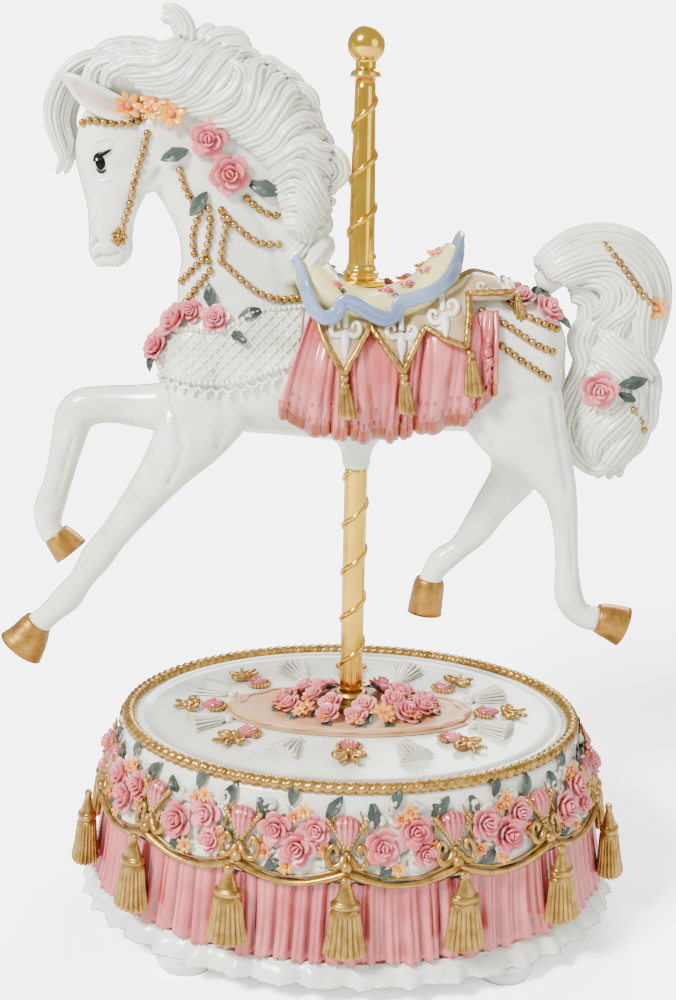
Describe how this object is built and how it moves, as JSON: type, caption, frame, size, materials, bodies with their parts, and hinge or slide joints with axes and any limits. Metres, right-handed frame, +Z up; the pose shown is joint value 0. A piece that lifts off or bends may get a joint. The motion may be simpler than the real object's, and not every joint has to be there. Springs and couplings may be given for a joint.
{
  "type": "carousel music box",
  "caption": "Carousel music box: a prancing horse on a brass pole that rises and falls over an oval, skirted base holding a wind-up cylinder movement.",
  "frame": {"origin": "on the standing plane, under the middle of the whole part's bounding box; the pole's axis is 9.3 mm towards +X of it", "axes": "+Z up along the pole; -X is the way the horse looks; -Y is the side that shows the horse's left flank"},
  "size_m": [0.2226, 0.1616, 0.3107],
  "materials": {
    "pearl_resin": "cast resin with a pearlescent white lacquer",
    "lace_resin": "white relief lattice with a pearl wash",
    "white_resin": "white pearl lacquer",
    "rose_resin": "rose-pink paint with a pearl sheen",
    "tan_resin": "satin tan paint",
    "flower_resin": "hand-painted roses, daisies and leaves",
    "antique_gold": "antique gold paint over resin",
    "hoof_gold": "satin gold paint over resin",
    "blue_grey_resin": "blue-grey pearl paint",
    "seat_resin": "pale yellow paint with small painted flowers",
    "pole_brass": "polished brass",
    "movement_brass": "drawn brass",
    "plated_steel": "nickel-plated steel",
    "comb_steel": "ground spring steel",
    "screw_steel": "zinc-plated steel",
    "fibre_board": "pale hard board"
  },
  "bodies": {
    "base": {"base_shell": "pearl_resin", "rope_rim": "antique_gold", "swag_cord": "antique_gold", "pleated_skirt": "rose_resin", "petticoat_ruffle": "white_resin", "tassel_01": "antique_gold", "tassel_02": "antique_gold", "tassel_03": "antique_gold", "tassel_04": "antique_gold", "tassel_05": "antique_gold", "tassel_06": "antique_gold", "tassel_07": "antique_gold", "tassel_08": "antique_gold", "tassel_09": "antique_gold", "tassel_10": "antique_gold", "tassel_11": "antique_gold", "tassel_12": "antique_gold", "tassel_13": "antique_gold", "tassel_14": "antique_gold", "foot_1": "white_resin", "foot_2": "white_resin", "foot_3": "white_resin", "foot_4": "white_resin", "medallion": "tan_resin", "flower_wreath": "flower_resin", "pole_collar": "antique_gold", "bottom_cover": "fibre_board", "cover_screw_1": "screw_steel", "cover_screw_2": "screw_steel", "cover_screw_3": "screw_steel", "bedplate": "plated_steel", "comb": "comb_steel", "comb_screw_1": "screw_steel", "comb_screw_2": "screw_steel", "governor_bracket": "movement_brass"},
    "horse_and_pole": {"pole_lower": "pole_brass", "wrist_pin": "plated_steel", "pole_upper": "pole_brass", "saddle_flange": "pole_brass", "ball_finial": "pole_brass", "horse_body": "pearl_resin", "hoof_front_near": "hoof_gold", "hoof_front_far": "hoof_gold", "hoof_hind_near": "hoof_gold", "hoof_hind_far": "hoof_gold", "mane": "pearl_resin", "forelock": "pearl_resin", "tail": "pearl_resin", "saddle_border": "blue_grey_resin", "saddle_seat": "seat_resin", "drape_near": "rose_resin", "drape_far": "rose_resin", "breast_collar": "lace_resin"},
    "cylinder": {"pin_cylinder": "movement_brass", "crank_disc": "plated_steel"},
    "barrel": {"spring_barrel": "movement_brass"},
    "idler": {"idler_wheel": "movement_brass"},
    "fly": {"governor_fly": "movement_brass"},
    "key": {"winding_key": "movement_brass"},
    "connecting_rod": {"connecting_rod": "plated_steel"}
  },
  "joints": [
    {"name": "pole_lift", "type": "slide", "parent": "base", "child": "horse_and_pole", "axis": [0, 0, 1], "range_m": [0, 0.012]},
    {"name": "cylinder_spin", "type": "hinge", "parent": "base", "child": "cylinder", "pos_m": [0.00931, 0, 0.036], "axis": [1, 0, 0], "continuous": true},
    {"name": "barrel_spin", "type": "hinge", "parent": "base", "child": "barrel", "pos_m": [0.05531, 0, 0.028], "axis": [0, 0, 1], "continuous": true},
    {"name": "idler_spin", "type": "hinge", "parent": "base", "child": "idler", "pos_m": [0.01861, 0.0113, 0.036], "axis": [1, 0, 0], "continuous": true},
    {"name": "fly_spin", "type": "hinge", "parent": "base", "child": "fly", "pos_m": [0.02271, 0.0173, 0.036], "axis": [0, 0, 1], "continuous": true},
    {"name": "key_spin", "type": "hinge", "parent": "base", "child": "key", "pos_m": [0.05531, 0, 0.01], "axis": [0, 0, 1], "continuous": true},
    {"name": "rod_swing", "type": "hinge", "parent": "horse_and_pole", "child": "connecting_rod", "pos_m": [0.00931, 0, 0.05], "axis": [1, 0, 0], "range_deg": [-20, 20]}
  ],
  "couplings": [
    {"joint": "barrel_spin", "follows": "cylinder_spin", "ratio": -0.25},
    {"joint": "idler_spin", "follows": "cylinder_spin", "ratio": -2.6667},
    {"joint": "fly_spin", "follows": "cylinder_spin", "ratio": 40}
  ]
}
